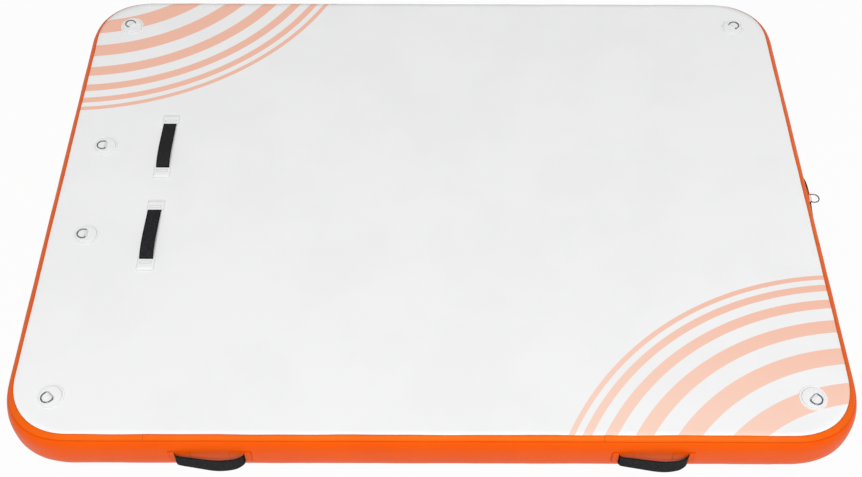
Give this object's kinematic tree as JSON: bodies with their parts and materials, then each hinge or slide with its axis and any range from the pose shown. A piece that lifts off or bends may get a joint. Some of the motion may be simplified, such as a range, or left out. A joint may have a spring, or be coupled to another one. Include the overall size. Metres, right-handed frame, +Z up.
{
  "type": "inflatable dock platform",
  "caption": "Flat rectangular drop-stitch inflatable platform with rounded orange sides, white deck, D-rings on welded patches, webbing carry handles and a sprung inflation valve.",
  "frame": {"origin": "centre of the flat underside", "axes": "+X along the long side, +Y towards the rear wall that carries the valve, +Z up out of the deck"},
  "size_m": [2.4828, 1.8994, 0.1669],
  "materials": {
    "deck_pvc": "white coated drop-stitch fabric, fine matt grain",
    "bottom_pvc": "pale grey coated drop-stitch fabric",
    "orange_pvc": "orange coated fabric, satin",
    "orange_tape": "orange seam tape, satin",
    "white_webbing": "white woven webbing",
    "black_webbing": "black woven webbing",
    "steel": "polished stainless wire",
    "valve_plastic": "light grey moulded plastic",
    "black_rubber": "black moulded rubber",
    "yarn": "polyester cloth and yarns"
  },
  "bodies": {
    "hull": {"deck_skin": "deck_pvc", "bottom_skin": "bottom_pvc", "side_wall": "orange_pvc", "side_wall_liner": "orange_pvc", "top_rail_tape": "orange_tape", "bottom_rail_tape": "orange_tape", "drop_stitch_core": "yarn", "d_ring_front_left_patch": "deck_pvc", "d_ring_front_left_webbing": "white_webbing", "d_ring_front_right_patch": "deck_pvc", "d_ring_front_right_webbing": "white_webbing", "d_ring_left_edge_front_patch": "deck_pvc", "d_ring_left_edge_front_webbing": "white_webbing", "d_ring_rear_left_patch": "deck_pvc", "d_ring_rear_left_webbing": "white_webbing", "d_ring_rear_right_patch": "deck_pvc", "d_ring_rear_right_webbing": "white_webbing", "d_ring_left_edge_rear_patch": "deck_pvc", "d_ring_left_edge_rear_webbing": "white_webbing", "d_ring_right_wall_patch": "orange_pvc", "d_ring_right_wall_webbing": "white_webbing", "deck_handle_front_strap": "black_webbing", "deck_handle_front_front_patch": "deck_pvc", "deck_handle_front_rear_patch": "deck_pvc", "deck_handle_rear_strap": "black_webbing", "deck_handle_rear_front_patch": "deck_pvc", "deck_handle_rear_rear_patch": "deck_pvc", "front_handle_left_strap": "black_webbing", "front_handle_left_patch_a": "orange_pvc", "front_handle_left_patch_b": "orange_pvc", "front_handle_right_strap": "black_webbing", "front_handle_right_patch_a": "orange_pvc", "front_handle_right_patch_b": "orange_pvc", "rear_handle_left_strap": "black_webbing", "rear_handle_left_patch_a": "orange_pvc", "rear_handle_left_patch_b": "orange_pvc", "rear_handle_right_strap": "black_webbing", "rear_handle_right_patch_a": "orange_pvc", "rear_handle_right_patch_b": "orange_pvc", "right_handle_strap": "black_webbing", "right_handle_patch_a": "orange_pvc", "right_handle_patch_b": "orange_pvc", "valve_body": "valve_plastic", "valve_nut": "valve_plastic", "valve_spring": "steel", "valve_cap_tether": "valve_plastic"},
    "d_ring_front_left": {"d_ring_front_left_ring": "steel"},
    "d_ring_front_right": {"d_ring_front_right_ring": "steel"},
    "d_ring_left_edge_front": {"d_ring_left_edge_front_ring": "steel"},
    "d_ring_rear_left": {"d_ring_rear_left_ring": "steel"},
    "d_ring_rear_right": {"d_ring_rear_right_ring": "steel"},
    "d_ring_left_edge_rear": {"d_ring_left_edge_rear_ring": "steel"},
    "d_ring_right_wall": {"d_ring_right_wall_ring": "steel"},
    "valve_cap_seal": {"valve_cap_o_ring": "black_rubber"},
    "valve_cap": {"valve_cap": "valve_plastic"},
    "valve_plunger": {"valve_stem": "valve_plastic", "valve_seal": "black_rubber"}
  },
  "joints": [
    {"name": "d_ring_front_left_swing", "type": "hinge", "parent": "hull", "child": "d_ring_front_left", "pos_m": [-1.078, -0.767, 0.1558], "axis": [-0.7071, 0.7071, 0], "range_deg": [0, 180]},
    {"name": "d_ring_front_right_swing", "type": "hinge", "parent": "hull", "child": "d_ring_front_right", "pos_m": [1.078, -0.767, 0.1558], "axis": [-0.7071, -0.7071, 0], "range_deg": [0, 180]},
    {"name": "d_ring_left_edge_front_swing", "type": "hinge", "parent": "hull", "child": "d_ring_left_edge_front", "pos_m": [-1.078, -0.186, 0.1558], "axis": [0, 1, 0], "range_deg": [0, 180]},
    {"name": "d_ring_rear_left_swing", "type": "hinge", "parent": "hull", "child": "d_ring_rear_left", "pos_m": [-1.078, 0.767, 0.1558], "axis": [0.7071, 0.7071, 0], "range_deg": [0, 180]},
    {"name": "d_ring_rear_right_swing", "type": "hinge", "parent": "hull", "child": "d_ring_rear_right", "pos_m": [1.078, 0.767, 0.1558], "axis": [0.7071, -0.7071, 0], "range_deg": [0, 180]},
    {"name": "d_ring_left_edge_rear_swing", "type": "hinge", "parent": "hull", "child": "d_ring_left_edge_rear", "pos_m": [-1.078, 0.186, 0.1558], "axis": [0, 1, 0], "range_deg": [0, 180]},
    {"name": "d_ring_right_wall_swing", "type": "hinge", "parent": "hull", "child": "d_ring_right_wall", "pos_m": [1.23378, 0.018, 0.09142], "axis": [0, -1, 0], "range_deg": [0, 115]},
    {"name": "valve_cap_lift", "type": "slide", "parent": "hull", "child": "valve_cap_seal", "axis": [0, 1, 0], "range_m": [0, 0.003]},
    {"name": "valve_cap_turn", "type": "hinge", "parent": "valve_cap_seal", "child": "valve_cap", "pos_m": [0, 0.915, 0.075], "axis": [0, 1, 0], "range_deg": [0, 270]},
    {"name": "valve_stem_push", "type": "slide", "parent": "hull", "child": "valve_plunger", "axis": [0, 1, 0], "range_m": [-0.004, 0], "stiffness_N_per_m": 400, "springref_m": 0.006, "deforming": ["valve_spring"]}
  ],
  "couplings": [
    {"joint": "valve_cap_lift", "follows": "valve_cap_turn", "m_per_rad": 0.00063662}
  ]
}
